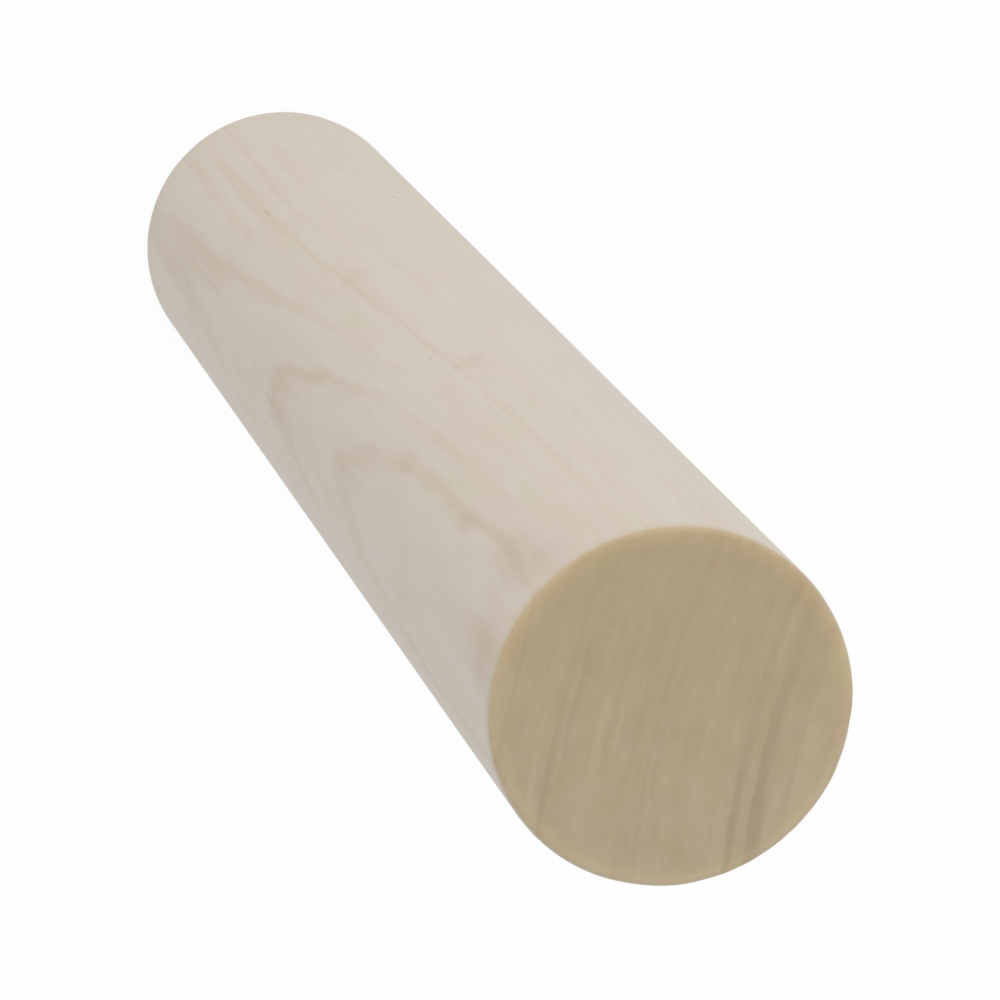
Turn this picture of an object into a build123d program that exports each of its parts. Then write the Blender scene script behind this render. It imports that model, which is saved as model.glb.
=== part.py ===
from build123d import *
import os

# A plain round dowel rod: one straight length of pale, close-grained hardwood, turned to a stock
# diameter, sanded smooth and sawn square at both ends. Its two sawn rims are lightly eased.
# It is one solid piece, with no bore, flute or joint, and it stands upright on one sawn end.
#
# Millimetres. +Z runs up the rod's axis, and the origin is the centre of its lower end face.

# Driving dimensions
rod_diameter = 22.225  # 7/8 inch stock
rod_length = 139.7  # a 5 1/2 inch cut, over both end faces
eased_edge = 0.5  # radius that sanding leaves on each sawn rim

# Worked out from them
rod_radius = rod_diameter / 2


def dowel_rod():
    """The rod as it is turned: half of its lengthwise section, spun once round the axis."""
    with BuildPart() as rod:
        with BuildSketch(Plane.XZ):
            Rectangle(rod_radius, rod_length, align=(Align.MIN, Align.MIN))
            rim_corners = vertices().group_by(Axis.X)[-1]
            fillet(rim_corners, radius=eased_edge)
        revolve(axis=Axis.Z)
    return rod.part


os.makedirs("parts", exist_ok=True)
export_step(dowel_rod(), "parts/dowel_rod.step")
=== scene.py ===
import math

import bpy
from mathutils import Matrix, Vector


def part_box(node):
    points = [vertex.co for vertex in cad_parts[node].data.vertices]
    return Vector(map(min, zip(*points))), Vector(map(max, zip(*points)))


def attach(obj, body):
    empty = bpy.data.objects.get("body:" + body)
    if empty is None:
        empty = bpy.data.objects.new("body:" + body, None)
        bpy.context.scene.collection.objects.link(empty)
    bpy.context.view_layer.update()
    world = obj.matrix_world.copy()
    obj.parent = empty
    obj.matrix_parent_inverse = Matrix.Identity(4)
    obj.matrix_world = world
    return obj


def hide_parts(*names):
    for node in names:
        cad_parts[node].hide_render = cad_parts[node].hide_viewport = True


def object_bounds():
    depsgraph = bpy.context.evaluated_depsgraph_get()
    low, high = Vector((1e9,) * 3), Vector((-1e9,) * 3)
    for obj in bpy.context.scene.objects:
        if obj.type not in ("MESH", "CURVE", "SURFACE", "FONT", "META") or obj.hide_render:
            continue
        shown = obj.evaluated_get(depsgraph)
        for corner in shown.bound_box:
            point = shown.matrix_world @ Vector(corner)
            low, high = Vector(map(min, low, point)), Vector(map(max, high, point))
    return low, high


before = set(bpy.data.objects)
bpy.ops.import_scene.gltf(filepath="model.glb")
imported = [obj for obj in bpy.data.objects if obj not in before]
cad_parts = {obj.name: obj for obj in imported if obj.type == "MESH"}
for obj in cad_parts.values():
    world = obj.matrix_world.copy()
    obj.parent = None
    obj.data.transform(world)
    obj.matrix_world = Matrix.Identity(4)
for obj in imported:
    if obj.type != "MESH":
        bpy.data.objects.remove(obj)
cad_low, cad_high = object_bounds()


# Camera: a long lens close to the rod's own line, high in front of it, so that the upper sawn end is
# large and near and the rod runs away from it. The camera is rolled, which lays the rod across the
# frame from lower right to upper left.

rod_centre = (cad_low + cad_high) / 2
aim_off_centre = Vector((-0.00019, 0.00631, 0))
aim = rod_centre + aim_off_centre
camera_distance = 0.3981
camera_elevation = math.radians(71.724)
camera_roll = math.radians(139.731)

camera_data = bpy.data.cameras.new("camera")
camera_data.sensor_width = 36
camera_data.lens = 201.6
camera = bpy.data.objects.new("camera", camera_data)
bpy.context.collection.objects.link(camera)
tilt = Matrix.Rotation(math.pi / 2 - camera_elevation, 4, "X")
roll = Matrix.Rotation(camera_roll, 4, "Z")
turned = tilt @ roll
camera.matrix_world = Matrix.Translation(aim + turned.col[2].to_3d() * camera_distance) @ turned
bpy.context.scene.camera = camera


# Studio: a white paper floor under a pale, even sky, with one large soft lamp on the rod's left and a
# weak one in front. Nearly all of the white that is seen is the paper's own glow, and the rest is lit,
# so that the rod's shadow stays on it. From below the paper is clear.

bpy.context.scene.view_settings.view_transform = "Standard"


def add(tree, kind, *plugs, named=None, **settings):
    """A node of this kind. Plugs are numbers or other nodes' sockets, in order or by socket name."""
    made = tree.nodes.new(kind)
    for setting, choice in settings.items():
        setattr(made, setting, choice)
    plugged = list(zip(made.inputs, plugs))
    plugged += [(made.inputs[title], plug) for title, plug in (named or {}).items()]
    for socket, plug in plugged:
        if isinstance(plug, bpy.types.NodeSocket):
            tree.links.new(plug, socket)
        elif plug is not None:
            socket.default_value = plug
    return made


def do(tree, operation, a, b=None, c=None):
    """One sum on numbers or sockets."""
    return add(tree, "ShaderNodeMath", a, b, c, operation=operation).outputs[0]


def seen_directly(tree):
    """One where the camera, a reflection or a clear surface looks straight at this."""
    ray = add(tree, "ShaderNodeLightPath").outputs
    mirrored = do(tree, "MAXIMUM", ray["Is Camera Ray"], ray["Is Glossy Ray"])
    return do(tree, "MAXIMUM", mirrored, ray["Is Transmission Ray"])


white = (1, 1, 1, 1)
sky_strength = 0.725
sky = bpy.data.worlds.new("sky")
sky.use_nodes = True
sky.node_tree.nodes.clear()
sky_light = add(sky.node_tree, "ShaderNodeBackground", white, sky_strength)
sky_white = add(sky.node_tree, "ShaderNodeBackground", white, 1.0)
sky_mix = add(sky.node_tree, "ShaderNodeMixShader", seen_directly(sky.node_tree),
              sky_light.outputs[0], sky_white.outputs[0])
add(sky.node_tree, "ShaderNodeOutputWorld", sky_mix.outputs[0])
bpy.context.scene.world = sky

paper_colour = (0.9, 0.9, 0.9, 1)
paper_glow = 0.95
floor_white = bpy.data.materials.new("floor_white")
floor_white.use_nodes = True
paper = floor_white.node_tree
paper.nodes.clear()
matt = add(paper, "ShaderNodeBsdfDiffuse", paper_colour)
glow = add(paper, "ShaderNodeEmission", white, 1.0)
glow_share = do(paper, "MULTIPLY", seen_directly(paper), paper_glow)
lit = add(paper, "ShaderNodeMixShader", glow_share, matt.outputs[0], glow.outputs[0])
clear = add(paper, "ShaderNodeBsdfTransparent")
from_below = add(paper, "ShaderNodeNewGeometry").outputs["Backfacing"]
sheet = add(paper, "ShaderNodeMixShader", from_below, lit.outputs[0], clear.outputs[0])
add(paper, "ShaderNodeOutputMaterial", sheet.outputs[0])

floor_half = 3.0
floor_gap = 0.00002
quarters = ((-1, -1), (1, -1), (1, 1), (-1, 1))
floor_corners = [(x * floor_half, y * floor_half, -floor_gap) for x, y in quarters]
floor_mesh = bpy.data.meshes.new("floor")
floor_mesh.from_pydata(floor_corners, [], [(0, 1, 2, 3)])
floor_mesh.materials.append(floor_white)
floor = bpy.data.objects.new("floor", floor_mesh)
bpy.context.collection.objects.link(floor)


def soft_lamp(name, place, side, watts, colour):
    """A square lamp of this side, turned to face the middle of the rod."""
    lamp = bpy.data.lights.new(name, "AREA")
    lamp.size = side
    lamp.energy = watts
    lamp.color = colour
    stand = bpy.data.objects.new(name, lamp)
    stand.location = place
    stand.rotation_euler = (rod_centre - Vector(place)).to_track_quat("-Z", "Y").to_euler()
    bpy.context.collection.objects.link(stand)


soft_lamp("lamp_left", place=(-0.72, -0.59, 0.55), side=0.7, watts=2.68, colour=(1.0, 0.98, 1.0))
soft_lamp("lamp_front", place=(0.0, -1.0, 0.35), side=0.7, watts=1.1, colour=(1.0, 1.0, 0.98))


# Dowel rod: one straight length of pale, close-grained hardwood, turned round, sanded smooth along the
# grain and sawn off square at both ends. Sanding has eased the two sawn rims a little unevenly.
# Growth rings run right through it, as arches on its side and as nearly straight lines on its ends.

rod_low, rod_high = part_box("dowel_rod")
rod_radius = min(rod_high.x, -rod_low.x, rod_high.y, -rod_low.y)
rod_length = rod_high.z - rod_low.z
radius_mm = rod_radius * 1000
length_mm = rod_length * 1000


def vector(tree, operation, a, b=None, scale=None):
    """One sum on vectors; LENGTH and DISTANCE give a number."""
    scaled = {} if scale is None else {"Scale": scale}
    made = add(tree, "ShaderNodeVectorMath", a, b, operation=operation, named=scaled)
    return made.outputs[1 if operation in ("LENGTH", "DISTANCE") else 0]


def split(tree, place):
    """The x, y and z of a vector."""
    return add(tree, "ShaderNodeSeparateXYZ", place).outputs


def join(tree, x, y, z):
    """A vector made of three numbers."""
    return add(tree, "ShaderNodeCombineXYZ", x, y, z).outputs[0]


def ramp(tree, value, start, end, low=0.0, high=1.0, kind="SMOOTHSTEP"):
    """Goes from low to high as value goes from start to end, and stays there."""
    made = add(tree, "ShaderNodeMapRange", value, start, end, low, high, interpolation_type=kind)
    return made.outputs[0]


def mixed(tree, share, first, second):
    """Goes from the first number to the second as the share goes from 0 to 1."""
    return add(tree, "ShaderNodeMix", share, None, first, second).outputs[0]


def grain_noise(tree, place, stretch, detail=2.0, roughness=0.5):
    """Noise from 0 to 1. Its lumps are as long as the stretch on each axis, in the place's own units."""
    fitted = vector(tree, "MULTIPLY", place, [1 / length for length in stretch])
    settings = {"Vector": fitted, "Scale": 1.0, "Detail": detail, "Roughness": roughness}
    return add(tree, "ShaderNodeTexNoise", named=settings).outputs[0]


def new_group(name, kind, takes, gives):
    """An empty node group. It takes sockets of (name, kind, usual value) and gives ones of (name, kind)."""
    group = bpy.data.node_groups.new(name, kind)
    for title, socket, usual in takes:
        made = group.interface.new_socket(title, in_out="INPUT", socket_type=socket)
        if usual is not None:
            made.default_value = usual
    for title, socket in gives:
        group.interface.new_socket(title, in_out="OUTPUT", socket_type=socket)
    return group, group.nodes.new("NodeGroupInput").outputs, group.nodes.new("NodeGroupOutput").inputs


# The turned form: a grid of rings and facets, wrapped into a closed round bar by the half section
# of the rod, from the middle of the lower end, round its rim, up the wall and over to the upper end.
form, take, give = new_group(
    "turned_rod", "GeometryNodeTree",
    [("Geometry", "NodeSocketGeometry", None), ("Radius", "NodeSocketFloat", 0.01),
     ("Length", "NodeSocketFloat", 0.1), ("Eased Edge", "NodeSocketFloat", 0.0005),
     ("Unevenness", "NodeSocketFloat", 0.00002), ("Saw Marks", "NodeSocketFloat", 0.00001),
     ("Facets", "NodeSocketInt", 96), ("End Rings", "NodeSocketInt", 10),
     ("Rim Rings", "NodeSocketInt", 4), ("Wall Rings", "NodeSocketInt", 40),
     ("Seed", "NodeSocketFloat", 1.0),
     ("Side Grain", "NodeSocketMaterial", None), ("End Grain", "NodeSocketMaterial", None)],
    [("Geometry", "NodeSocketGeometry")])
end_and_rim = do(form, "ADD", take["End Rings"], take["Rim Rings"])
half_wall = do(form, "MULTIPLY", take["Wall Rings"], 0.5)
half_rows = do(form, "ADD", end_and_rim, half_wall)
all_rows = do(form, "MULTIPLY", half_rows, 2.0)
grid = add(form, "GeometryNodeMeshGrid", 1.0, all_rows, do(form, "ADD", take["Facets"], 1.0),
           do(form, "ADD", all_rows, 1.0))
flat = split(form, add(form, "GeometryNodeInputPosition").outputs[0])
angle = do(form, "MULTIPLY", do(form, "ADD", flat["X"], 0.5), math.tau)
row = do(form, "ROUND", do(form, "ADD", flat["Y"], half_rows))
row_from_end = do(form, "MINIMUM", row, do(form, "SUBTRACT", all_rows, row))
in_upper_half = do(form, "GREATER_THAN", row, half_rows)
cosine = do(form, "COSINE", angle)
sine = do(form, "SINE", angle)

# The radius of the eased rim swings slowly by a fifth of itself round the rod, and quickly by an
# eighth, and the two ends differ.
rim_place = join(form, cosine, sine, do(form, "ADD", in_upper_half, take["Seed"]))
slow_swing = grain_noise(form, rim_place, (0.8, 0.8, 0.8), 1.0)
quick_swing = grain_noise(form, rim_place, (0.11, 0.11, 0.11))
rim_swing = do(form, "ADD", ramp(form, slow_swing, 0.3, 0.7, 0.8, 1.2),
               ramp(form, quick_swing, 0.3, 0.7, -0.12, 0.12, "LINEAR"))
rim = do(form, "MULTIPLY", take["Eased Edge"], rim_swing)

# The half section, row by row: out along the end, over the rim, and up to the middle of the wall.
along_end = ramp(form, do(form, "DIVIDE", row_from_end, take["End Rings"]), 0, 1, kind="LINEAR")
past_end = do(form, "SUBTRACT", row_from_end, take["End Rings"])
easing = ramp(form, do(form, "DIVIDE", past_end, take["Rim Rings"]), 0, 1, kind="LINEAR")
round_rim = do(form, "MULTIPLY", easing, math.pi / 2)
past_rim = do(form, "SUBTRACT", row_from_end, end_and_rim)
up_wall = ramp(form, do(form, "DIVIDE", past_rim, half_wall), 0, 1, kind="LINEAR")
end_radius = do(form, "MULTIPLY", do(form, "SUBTRACT", take["Radius"], rim), along_end)
out = do(form, "MULTIPLY_ADD", rim, do(form, "SINE", round_rim), end_radius)
rim_height = do(form, "MULTIPLY", rim, do(form, "SUBTRACT", 1.0, do(form, "COSINE", round_rim)))
wall_height = do(form, "SUBTRACT", do(form, "MULTIPLY", take["Length"], 0.5), rim)
height = do(form, "MULTIPLY_ADD", wall_height, up_wall, rim_height)
turned_over = do(form, "SUBTRACT", take["Length"], height)
lift = mixed(form, in_upper_half, height, turned_over)
wrapped = join(form, do(form, "MULTIPLY", out, cosine), do(form, "MULTIPLY", out, sine), lift)
marked = add(form, "GeometryNodeStoreNamedAttribute", grid.outputs["Mesh"], None, "easing", easing,
             data_type="FLOAT", domain="POINT")
bar = add(form, "GeometryNodeSetPosition", marked.outputs[0], None, wrapped)
seam_gap = 1e-6
closed = add(form, "GeometryNodeMergeByDistance", bar.outputs[0], named={"Distance": seam_gap})

# Hand sanding leaves the wall up to two hundredths of a millimetre uneven, and the saw leaves shallow
# arcs across the ends. Both only take wood away, so the rod stays inside its stock size.
here_mm = vector(form, "SCALE", add(form, "GeometryNodeInputPosition").outputs[0], scale=1000.0)
normal = add(form, "GeometryNodeInputNormal").outputs[0]
facing_end = do(form, "ABSOLUTE", split(form, normal)["Z"])
worn = do(form, "MULTIPLY", grain_noise(form, here_mm, (9, 9, 26), 1.0), take["Unevenness"])
blade_middle = (-60.0, 95.0, 0.0)
blade_wobble = 0.9
saw_pitch = 1.7
from_blade = vector(form, "SUBTRACT", here_mm, blade_middle)
blade_reach = vector(form, "LENGTH", vector(form, "MULTIPLY", from_blade, (1, 1, 0)))
wobbled = do(form, "MULTIPLY_ADD", grain_noise(form, here_mm, (5, 5, 5), 1.0), blade_wobble, blade_reach)
saw_wave = do(form, "SINE", do(form, "MULTIPLY", wobbled, math.tau / saw_pitch))
sawn = do(form, "MULTIPLY", do(form, "MULTIPLY_ADD", saw_wave, 0.5, 0.5), take["Saw Marks"])
depth = mixed(form, ramp(form, facing_end, 0.6, 1.0), worn, sawn)
inward = vector(form, "SCALE", normal, scale=do(form, "MULTIPLY", depth, -1.0))
relief = add(form, "GeometryNodeSetPosition", closed.outputs[0], None, None, inward)
smooth = add(form, "GeometryNodeSetShadeSmooth", relief.outputs[0])
whole = add(form, "GeometryNodeRealizeInstances", smooth.outputs[0])
sided = add(form, "GeometryNodeSetMaterial", whole.outputs[0], named={"Material": take["Side Grain"]})
ended = add(form, "GeometryNodeSetMaterial", sided.outputs[0], do(form, "GREATER_THAN", facing_end, 0.5),
            named={"Material": take["End Grain"]})
form.links.new(ended.outputs[0], give["Geometry"])


# One soft-edged oval spot in the wood, of any length, with a depth that its middle reaches. Spots are
# added up one after another.
soft_spot, take, give = new_group(
    "soft_spot", "ShaderNodeTree",
    [("Millimetres", "NodeSocketVector", (0, 0, 0)), ("Middle", "NodeSocketVector", (0, 0, 0)),
     ("Half Size", "NodeSocketVector", (1, 1, 1)), ("Depth", "NodeSocketFloat", 1),
     ("Soft From", "NodeSocketFloat", 0.3), ("Spots Before", "NodeSocketFloat", 0)],
    [("Spots", "NodeSocketFloat")])
offset = vector(soft_spot, "DIVIDE", vector(soft_spot, "SUBTRACT", take["Millimetres"], take["Middle"]),
                take["Half Size"])
oval = ramp(soft_spot, vector(soft_spot, "LENGTH", offset), take["Soft From"], 1.0, 1.0, 0.0)
spots = do(soft_spot, "MULTIPLY_ADD", oval, take["Depth"], take["Spots Before"])
soft_spot.links.new(spots, give["Spots"])


def on_wall(degrees, height):
    """A place on the rod's wall in millimetres, in degrees round from its front and up from its foot."""
    round_from_front = math.radians(degrees)
    return radius_mm * math.sin(round_from_front), -radius_mm * math.cos(round_from_front), height


def on_end(x, y):
    """A place on the rod's upper end, in millimetres."""
    return x, y, length_mm


def spots_on_wall(tree, millimetres, spots, soft_from):
    """Every one of these spots as one mask. Each is (degrees, height, half width, half length, depth)."""
    spots_so_far = 0.0
    for degrees, height, half_width, half_length, depth in spots:
        one = add(tree, "ShaderNodeGroup", node_tree=soft_spot, named={
            "Millimetres": millimetres, "Middle": on_wall(degrees, height), "Depth": depth,
            "Half Size": (half_width, half_width, half_length), "Soft From": soft_from,
            "Spots Before": spots_so_far})
        spots_so_far = one.outputs["Spots"]
    return spots_so_far


# Down the right of the rod the rings are fainter, by up to this share of their depth.
faint_side = ((72.0, 66.0, 7.5, 96.0, 0.55),)

# Places where the layers dip towards the pith, so that the rings on the side bend there. Where the
# depth is below 0 they dip towards the bark.
dips = (
    (-4.0, 4.0, 14.0, 26.0, 0.2), (33.0, 27.0, 4.5, 13.0, 0.03), (34.0, 66.0, 2.6, 8.0, 0.12),
    (46.0, 62.0, 3.4, 8.0, 0.18), (8.0, 90.0, 4.5, 15.0, 0.14), (14.0, 110.0, 3.5, 7.0, 0.12),
    (8.0, 138.0, 4.5, 9.0, -0.25),
)


# The year rings as one solid pattern: how far a place lies from the pith, counted along the tree's
# layers. The layers taper up the trunk and swell a little, and the pith is well outside the rod.
# Towards the foot they spread apart, inwards from the distance at which they stay even.
growth, take, give = new_group(
    "growth_layers", "ShaderNodeTree",
    [("Place", "NodeSocketVector", (0, 0, 0)), ("Pith", "NodeSocketVector", (-37.3, 49.6, 0)),
     ("Taper", "NodeSocketFloat", 0.0259), ("Spread", "NodeSocketFloat", 0.0014),
     ("Swell", "NodeSocketFloat", 0.467), ("Swell Start", "NodeSocketFloat", 81.4),
     ("Swell Length", "NodeSocketFloat", 148.2), ("Even At", "NodeSocketFloat", 74.0),
     ("Wander", "NodeSocketFloat", 0.25), ("Ragged", "NodeSocketFloat", 0.5)],
    [("Layer", "NodeSocketFloat"), ("From Pith", "NodeSocketVector"), ("Millimetres", "NodeSocketVector")])
mm = vector(growth, "SCALE", take["Place"], scale=1000.0)
level = vector(growth, "MULTIPLY", mm, (1, 1, 0))
from_pith = vector(growth, "SUBTRACT", level, take["Pith"])
distance = vector(growth, "LENGTH", from_pith)
z = split(growth, mm)["Z"]
turns = do(growth, "DIVIDE", do(growth, "SUBTRACT", z, take["Swell Start"]), take["Swell Length"])
swell = do(growth, "MULTIPLY", do(growth, "SINE", do(growth, "MULTIPLY", turns, math.tau)), take["Swell"])
tapered = do(growth, "ADD", do(growth, "MULTIPLY_ADD", z, take["Taper"], distance), swell)
below_top = do(growth, "SUBTRACT", z, length_mm)
from_even = do(growth, "SUBTRACT", distance, take["Even At"])
spread = do(growth, "MULTIPLY", do(growth, "MULTIPLY", below_top, from_even), take["Spread"])
slow = do(growth, "SUBTRACT", grain_noise(growth, mm, (6, 6, 40), 1.0), 0.5)
quick = do(growth, "SUBTRACT", grain_noise(growth, mm, (1.3, 1.3, 12), 3.0, 0.62), 0.5)
wandered = do(growth, "MULTIPLY_ADD", slow, take["Wander"], do(growth, "ADD", tapered, spread))
dipped = do(growth, "ADD", wandered, spots_on_wall(growth, mm, dips, 0.0))
layer = do(growth, "MULTIPLY_ADD", quick, take["Ragged"], dipped)
growth.links.new(layer, give["Layer"])
growth.links.new(from_pith, give["From Pith"])
growth.links.new(mm, give["Millimetres"])

# One year's end: a dark line that comes up over the last of the year and stops sharply at its end,
# darkest round one place. A year with a depth below nought is paler than the wood round it.
year_end, take, give = new_group(
    "year_end", "ShaderNodeTree",
    [("Layer", "NodeSocketFloat", 0), ("Millimetres", "NodeSocketVector", (0, 0, 0)),
     ("Ends At", "NodeSocketFloat", 60), ("Depth", "NodeSocketFloat", 1),
     ("Width", "NodeSocketFloat", 0.5), ("Darkest At", "NodeSocketVector", (0, 0, 0)),
     ("Reach", "NodeSocketFloat", 1000),
     ("Elsewhere", "NodeSocketFloat", 1), ("Years Before", "NodeSocketFloat", 0)],
    [("Years", "NodeSocketFloat")])
line_gone = -0.16
line_full = 0.06
full_share = 0.35
before_end = do(year_end, "SUBTRACT", take["Ends At"], take["Layer"])
sharp_side = ramp(year_end, before_end, line_gone, line_full)
full_width = do(year_end, "MULTIPLY", take["Width"], full_share)
slow_side = ramp(year_end, before_end, full_width, take["Width"], 1.0, 0.0)
line = do(year_end, "MULTIPLY", sharp_side, slow_side)
from_darkest = vector(year_end, "DISTANCE", take["Millimetres"], take["Darkest At"])
away = do(year_end, "DIVIDE", from_darkest, take["Reach"])
near = ramp(year_end, away, 0, 1, 1.0, take["Elsewhere"])
strength = do(year_end, "MULTIPLY", do(year_end, "MULTIPLY", line, near), take["Depth"])
year_end.links.new(do(year_end, "ADD", take["Years Before"], strength), give["Years"])


# The years that show clearest across the upper end. Each is the layer that it ends at, how deep and how
# wide its end is, where it is darkest, how far that reaches, and the share of its depth left elsewhere.
years_on_end = (
    (57.6, -0.60, 1.80, on_end(-6, 8), 11, 0.3),
    (59.88, 1.22, 1.05, on_end(0.5, 8.5), 13, 0.3),
    (60.55, -0.50, 0.50, on_end(-9, 0.6), 5, 0.0),
    (61.12, 1.05, 0.70, on_end(1, 8.4), 9, 0.24),
    (61.95, -0.18, 0.50, on_end(1, 7), 12, 0.4),
    (62.6, -0.30, 0.60, on_end(0, 4.5), 6, 0.0),
    (63.6, -0.32, 1.10, on_end(-1, 3), 8, 0.2),
    (64.65, 0.14, 0.40, on_end(-8, -1), 20, 0.0),
    (65.3, -0.20, 0.50, on_end(-1, 3), 24, 0.0),
    (66.25, 0.35, 0.45, on_end(2.2, 1.7), 4, 0.0),
    (66.75, 0.26, 0.45, on_end(0, 0), 30, 0.0),
    (67.87, 0.18, 0.45, on_end(0, 0), 30, 0.0),
    (69.0, -0.18, 0.50, on_end(-2, -3), 30, 0.0),
    (69.45, 0.40, 0.50, on_end(1.9, -2.6), 4, 0.0),
    (70.2, -0.50, 0.90, on_end(5, -1), 6, 0.0),
    (70.6, -0.20, 0.50, on_end(7, 2), 14, 0.0),
    (71.9, 0.42, 0.85, on_end(3.2, -4.6), 5, 0.0),
    (72.7, 0.70, 0.50, on_end(9, 0), 18, 0.0),
    (73.55, -0.32, 0.60, on_end(9, -2), 20, 0.0),
    (75.92, -0.30, 0.80, on_end(4, -9), 12, 0.0),
)

# The years that show clearest up the wall, where they make the arches. A year has a second line where
# it darkens or pales in another place.
years_up_wall = (
    (70.85, 0.46, 0.32, on_wall(-12, 8), 60, 0.0),
    (71.9, 0.50, 0.38, on_wall(-6, 36), 110, 0.35),
    (72.7, 0.46, 0.36, on_wall(8, 12), 50, 0.0),
    (73.62, 0.82, 0.34, on_wall(20, 32), 60, 0.0),
    (73.62, -0.40, 0.32, on_wall(58, 46), 12, 0.0),
    (74.70, 1.05, 0.30, on_wall(35, 64), 42, 0.0),
    (74.70, 0.45, 0.30, on_wall(1, 107), 16, 0.0),
    (75.76, 0.88, 0.36, on_wall(10, 112), 64, 0.0),
    (75.76, -0.60, 0.36, on_wall(58, 104), 17, 0.0),
    (77.15, 0.95, 0.36, on_wall(22, 135), 7, 0.0),
)

# The faint years at the back of the rod, nearest the pith, are all alike and equally dark all over.
faint_years = (52.1, 53.2, 54.4, 55.5)
faint_depth = 0.25
faint_width = 0.4


def ring_mask(tree, layer, millimetres):
    """Every year's end, one after another, as one mask of how dark the rings are."""
    years = [*years_on_end, *years_up_wall]
    years += [(ends_at, faint_depth, faint_width, (0, 0, 0), 1000, 1.0) for ends_at in faint_years]
    years_so_far = 0.0
    for ends_at, depth, width, darkest_at, reach, elsewhere in years:
        one = add(tree, "ShaderNodeGroup", node_tree=year_end, named={
            "Layer": layer, "Millimetres": millimetres, "Ends At": ends_at, "Depth": depth,
            "Width": width, "Darkest At": darkest_at, "Reach": reach, "Elsewhere": elsewhere,
            "Years Before": years_so_far})
        years_so_far = one.outputs["Years"]
    return years_so_far


def back_rings(tree, layer, millimetres):
    """More rings round the rod's back, which darken slowly and stop sharply. They fade out near its top,
    where the years above show."""
    year_width = 1.15
    uneven_years = 1.6
    fade_from = length_mm - 13.7
    fade_to = length_mm - 1.7
    place = split(tree, millimetres)
    unevenness = grain_noise(tree, join(tree, layer, 0, 0), (2.5, 1, 1), 0.0)
    even_years = do(tree, "DIVIDE", layer, year_width)
    years = do(tree, "MULTIPLY_ADD", unevenness, uneven_years, even_years)
    part_of_year = do(tree, "FRACT", years)
    slow_side = ramp(tree, part_of_year, 0.5, 0.9)
    sharp_side = ramp(tree, part_of_year, 0.92, 1.0, 1.0, 0.0)
    line = do(tree, "MULTIPLY", slow_side, sharp_side)
    ring_and_height = join(tree, layer, 0, place["Z"])
    strength = ramp(tree, grain_noise(tree, ring_and_height, (1.0, 1, 60), 1.0), 0.35, 0.65, 0.3, 1.0)
    clearer_inside = ramp(tree, layer, 61.0, 54.0, 0.3, 0.75)
    behind_axis = ramp(tree, place["Y"], -3.0, 3.0)
    below_top = ramp(tree, place["Z"], fade_from, fade_to, 1.0, 0.0)
    at_back = do(tree, "MULTIPLY", behind_axis, below_top)
    share = do(tree, "MULTIPLY", do(tree, "MULTIPLY", strength, clearer_inside), at_back)
    return do(tree, "MULTIPLY", line, share)


# The marks on this rod: how many degrees round from the front and millimetres up from the foot each
# is, half its width and half its length in millimetres, and how deep it is. The small ones are a short
# bark fleck, a pin knot, and a pit with its pale lip. The rest are soft stains and two paler patches.
small_marks = (
    (-4.0, 32.2, 0.13, 2.4, 0.46), (-14.2, 89.0, 0.20, 0.45, 0.36), (-53.5, 36.4, 0.20, 0.7, 0.5),
    (-52.1, 37.3, 0.18, 0.6, -0.5),
)
soft_stains = (
    (-24.5, 93.1, 1.3, 2.4, 0.14), (-19.0, 93.5, 0.6, 1.1, 0.1), (14.5, 103.3, 1.1, 3.0, 0.22),
    (12.5, 120.9, 0.8, 3.1, 0.25), (46.5, 64.0, 1.2, 4.5, 0.2), (37.0, 137.0, 2.4, 3.6, 0.22),
    (39.5, 17.0, 0.9, 8.0, 0.12), (28.5, 16.0, 0.7, 11.0, 0.08), (-28.0, 92.0, 0.8, 2.0, 0.1),
    (-24.0, 117.0, 0.7, 14.0, 0.08), (-2.0, 137.0, 2.4, 4.0, 0.17), (6.0, 133.0, 2.6, 7.0, 0.24),
    (26.0, 136.0, 1.2, 4.0, 0.12), (62.0, 74.0, 1.1, 5.0, 0.1), (34.0, 91.0, 1.0, 9.0, 0.12),
    (50.0, 76.0, 0.9, 5.0, 0.1), (57.0, 24.0, 1.2, 6.0, 0.1), (-14.0, 61.0, 1.2, 3.0, 0.1),
    (5.7, 33.2, 0.60, 1.8, 0.12),
)
pale_patches = ((-6.0, 82.0, 1.2, 5.0, -0.1), (34.0, 56.0, 1.0, 4.0, -0.12))


# The wood itself, for both the side and the ends: its rings, its marks, the figure that follows the
# rings, the long fibres, the fine pores, the rays that run out from the pith, and slow changes in
# colour. Each comes out as a mask from 0 to 1, apart from rings and marks: these add up without a limit,
# and fall below 0 where the wood is paler.
wood, take, give = new_group(
    "pale_hardwood", "ShaderNodeTree", [("Place", "NodeSocketVector", (0, 0, 0))],
    [("Rings", "NodeSocketFloat"), ("Marks", "NodeSocketFloat"), ("Figure", "NodeSocketFloat"),
     ("Fibres", "NodeSocketFloat"), ("Pores", "NodeSocketFloat"), ("Rays", "NodeSocketFloat"),
     ("Mottle", "NodeSocketFloat"), ("Blush", "NodeSocketFloat"), ("Millimetres", "NodeSocketVector")])
grown = add(wood, "ShaderNodeGroup", take["Place"], node_tree=growth).outputs
mm = grown["Millimetres"]
pith_to_axis = 62.0
outward = split(wood, grown["From Pith"])
round_pith = do(wood, "MULTIPLY", do(wood, "ARCTAN2", outward["Y"], outward["X"]), pith_to_axis)
along_layers = join(wood, grown["Layer"], round_pith, split(wood, mm)["Z"])
pore_noise = grain_noise(wood, mm, (0.09, 0.09, 1.5), 1.0)
ray_noise = grain_noise(wood, along_layers, (4.0, 0.11, 0.7), 1.0)
ring_share = do(wood, "SUBTRACT", 1.0, spots_on_wall(wood, mm, faint_side, 0.0))
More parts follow.
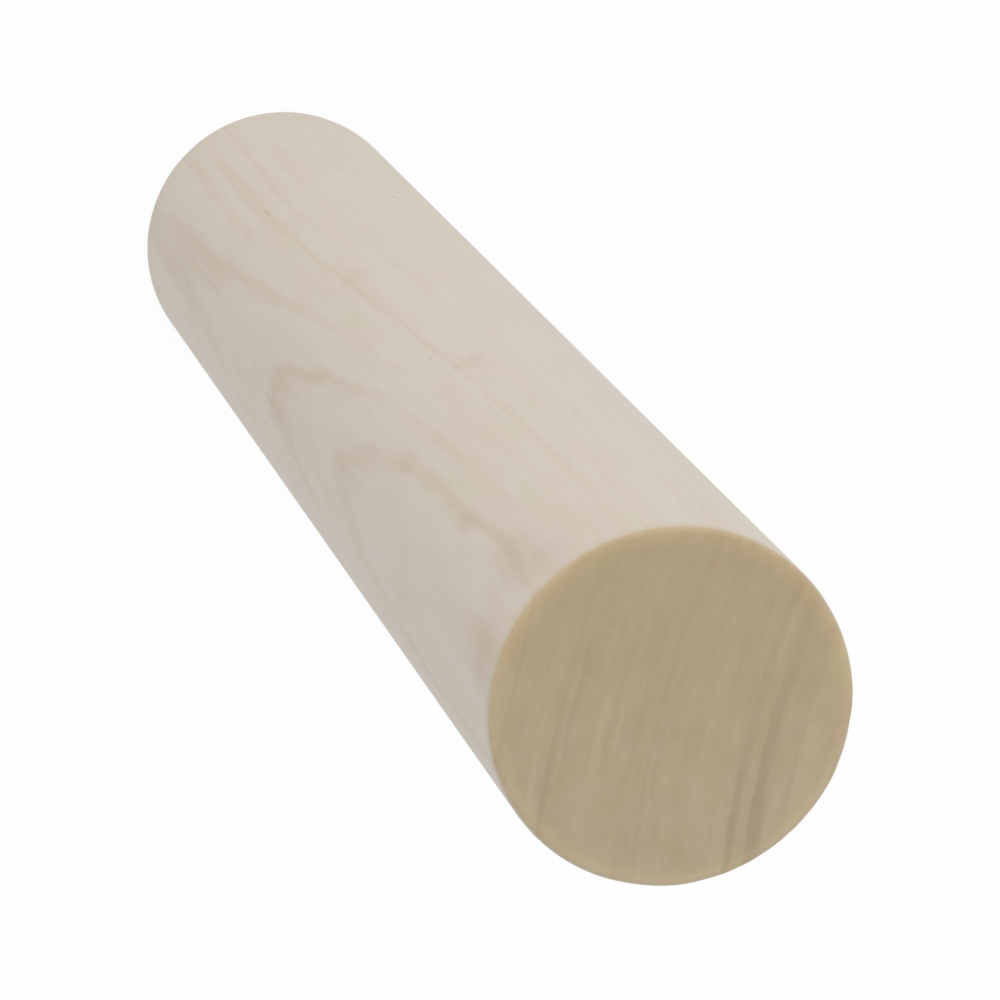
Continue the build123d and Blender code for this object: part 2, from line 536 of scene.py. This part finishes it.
clear_rings = do(wood, "MULTIPLY", ring_mask(wood, grown["Layer"], mm), ring_share)
blush_place = vector(wood, "ADD", mm, (31, 17, 5))
wood_masks = {
    "Rings": do(wood, "ADD", clear_rings, back_rings(wood, grown["Layer"], mm)),
    "Marks": spots_on_wall(wood, mm, [*small_marks, *soft_stains, *pale_patches], 0.3),
    "Figure": ramp(wood, grain_noise(wood, along_layers, (0.5, 3.4, 20), 2.5, 0.6), 0.3, 0.72),
    "Fibres": grain_noise(wood, mm, (0.22, 0.22, 9), 3.0, 0.6),
    "Pores": ramp(wood, pore_noise, 0.60, 0.74),
    "Rays": ramp(wood, ray_noise, 0.60, 0.76),
    "Mottle": ramp(wood, grain_noise(wood, mm, (1.7, 1.7, 9), 2.0), 0.3, 0.7),
    "Blush": ramp(wood, grain_noise(wood, blush_place, (2.6, 2.6, 13), 1.0), 0.3, 0.7),
    "Millimetres": mm,
}
for title, mask in wood_masks.items():
    wood.links.new(mask, give[title])


def srgb(red, green, blue):
    """A colour as it is seen on a screen, from 0 to 255, turned into light."""
    shares = (red / 255, green / 255, blue / 255)
    return tuple(c / 12.92 if c <= 0.04045 else ((c + 0.055) / 1.055) ** 2.4 for c in shares)


def blend(tree, under, over, share, kind="MIX"):
    """Goes from one colour to the other by the share. A share below 0 goes the other way."""
    mix = add(tree, "ShaderNodeMix", share, data_type="RGBA", blend_type=kind, clamp_factor=False)
    first_colour, second_colour = mix.inputs[6:8]
    for socket, colour in ((first_colour, under), (second_colour, over)):
        if isinstance(colour, bpy.types.NodeSocket):
            tree.links.new(colour, socket)
        else:
            socket.default_value = (*colour, 1)
    mixed_colour = mix.outputs[2]
    return mixed_colour


def wooden(name):
    """A new material with the wood's masks, and a principled shader to finish."""
    material = bpy.data.materials.new(name)
    material.use_nodes = True
    tree = material.node_tree
    tree.nodes.clear()
    place = add(tree, "ShaderNodeTexCoord").outputs["Object"]
    masks = add(tree, "ShaderNodeGroup", place, node_tree=wood).outputs
    shader = add(tree, "ShaderNodeBsdfPrincipled")
    add(tree, "ShaderNodeOutputMaterial", shader.outputs[0])
    return material, tree, masks, shader


def tinted(tree, colour, tints):
    """The colour under one mask after another, each with the tint that it brings where it is 1."""
    for mask, tint in tints:
        colour = blend(tree, colour, tint, mask, "MULTIPLY")
    return colour


def sanded_colour(tree, masks):
    """The wood's colour where it is sanded along the grain: pale, and warmer in the last millimetre."""
    pale_wood = srgb(206.5, 195.7, 183)
    above_foot = split(tree, masks["Millimetres"])["Z"]
    from_end = do(tree, "MINIMUM", above_foot, do(tree, "SUBTRACT", length_mm, above_foot))
    last_millimetre = ramp(tree, from_end, 0.3, 1.4, 1.0, 0.0)
    return tinted(tree, pale_wood, (
        (last_millimetre, (0.975, 0.955, 0.905)),
        (masks["Rings"], (0.915, 0.865, 0.80)),
        (masks["Marks"], (0.72, 0.62, 0.50)),
        (masks["Figure"], (0.972, 0.96, 0.935)),
        (masks["Mottle"], (0.982, 0.986, 0.95)),
        (masks["Blush"], (1.0, 0.978, 0.985)),
        (ramp(tree, masks["Fibres"], 0.3, 0.8), (0.995, 0.991, 0.984)),
        (masks["Pores"], (0.991, 0.985, 0.976)),
        (masks["Rays"], (0.990, 0.985, 0.977))))


side_grain, tree, masks, shader = wooden("sanded_side_grain")
shader.inputs["Specular IOR Level"].default_value = 0.3
tree.links.new(sanded_colour(tree, masks), shader.inputs["Base Color"])
tree.links.new(ramp(tree, masks["Fibres"], 0.2, 0.8, 0.38, 0.48), shader.inputs["Roughness"])
pore_dent = 0.7
mark_dent = 0.8
marks_dented = do(tree, "MULTIPLY", masks["Marks"], mark_dent)
dents = do(tree, "MULTIPLY_ADD", masks["Pores"], pore_dent, marks_dented)
fibre_height = do(tree, "SUBTRACT", masks["Fibres"], dents)
bump = add(tree, "ShaderNodeBump", named={"Strength": 0.15, "Distance": 0.00002, "Height": fibre_height})
tree.links.new(bump.outputs[0], shader.inputs["Normal"])

# Across the grain the cut fibres drink in the light, so an end is darker and yellower than the side,
# most of all towards its front left. It pales again towards its rim, where sanding has closed the fibres,
# and turns into the side's colour over the eased edge, sooner at the back. At the back the rim also
# carries a painted highlight: a pale, slightly cool band that stands in for light falling there.
# The turned form marks that edge as easing.
end_grain, tree, masks, shader = wooden("sawn_end_grain")
sawn_wood = srgb(189.8, 174.6, 144.6)
diagonal = 0.7071
across = split(tree, masks["Millimetres"])
towards_front_left = do(tree, "MULTIPLY", do(tree, "ADD", across["X"], across["Y"]), -diagonal)
front_left = ramp(tree, towards_front_left, -9.0, 9.0)
from_axis = vector(tree, "LENGTH", vector(tree, "MULTIPLY", masks["Millimetres"], (1, 1, 0)))
inside_rim = do(tree, "SUBTRACT", radius_mm, from_axis)
near_rim = ramp(tree, inside_rim, 1.5, 0.35)
at_back = ramp(tree, across["Y"], -2.0, 7.0)
# Painted highlight: the rim is brightened and cooled towards the back, where light falls on it.
back_rim_painted_highlight = do(tree, "MULTIPLY", ramp(tree, inside_rim, 0.9, 0.3), at_back)
sawn_colour = tinted(tree, sawn_wood, (
    (masks["Rings"], (0.885, 0.872, 0.868)),
    (masks["Figure"], (0.955, 0.948, 0.94)),
    (masks["Mottle"], (0.957, 0.96, 0.915)),
    (masks["Blush"], (0.995, 0.96, 0.97)),
    (masks["Rays"], (1.012, 1.012, 1.015)),
    (ramp(tree, masks["Fibres"], 0.3, 0.8), (0.985, 0.983, 0.98)),
    (front_left, (0.98, 0.948, 0.885)),
    (near_rim, (1.10, 1.08, 1.06)),
    (back_rim_painted_highlight, (1.09, 1.09, 1.11))))
easing = add(tree, "ShaderNodeAttribute", attribute_name="easing").outputs["Fac"]
turns_from = ramp(tree, at_back, 0.0, 1.0, 0.4, 0.0, "LINEAR")
over_rim = ramp(tree, easing, turns_from, 1.0)
end_colour = blend(tree, sawn_colour, sanded_colour(tree, masks), over_rim)
tree.links.new(end_colour, shader.inputs["Base Color"])
tree.links.new(ramp(tree, easing, 0.0, 0.7, 0.76, 0.46), shader.inputs["Roughness"])
bump = add(tree, "ShaderNodeBump", named={"Strength": 0.5, "Distance": 0.00003, "Height": masks["Fibres"]})
tree.links.new(bump.outputs[0], shader.inputs["Normal"])

# The rod is turned from the form above at its real size, and its wall is fine enough for the light to
# run smoothly round it.
blank = bpy.data.objects.new("blank", bpy.data.meshes.new("blank"))
bpy.context.collection.objects.link(blank)
turning = blank.modifiers.new("turning", "NODES")
turning.node_group = form
choices = {"Radius": rod_radius, "Length": rod_length, "Eased Edge": 0.0005, "Unevenness": 0.00002,
           "Saw Marks": 0.000012, "Facets": 288, "End Rings": 26, "Rim Rings": 8, "Wall Rings": 180,
           "Seed": 3.0, "Side Grain": side_grain, "End Grain": end_grain}
for socket in form.interface.items_tree:
    if socket.in_out == "INPUT" and socket.name in choices:
        turning[socket.identifier] = choices[socket.name]
evaluated = blank.evaluated_get(bpy.context.evaluated_depsgraph_get())
rod = bpy.data.objects.new("turned_dowel_rod", bpy.data.meshes.new_from_object(evaluated))
bpy.context.collection.objects.link(rod)
bpy.data.objects.remove(blank)
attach(rod, "root")
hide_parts("dowel_rod")
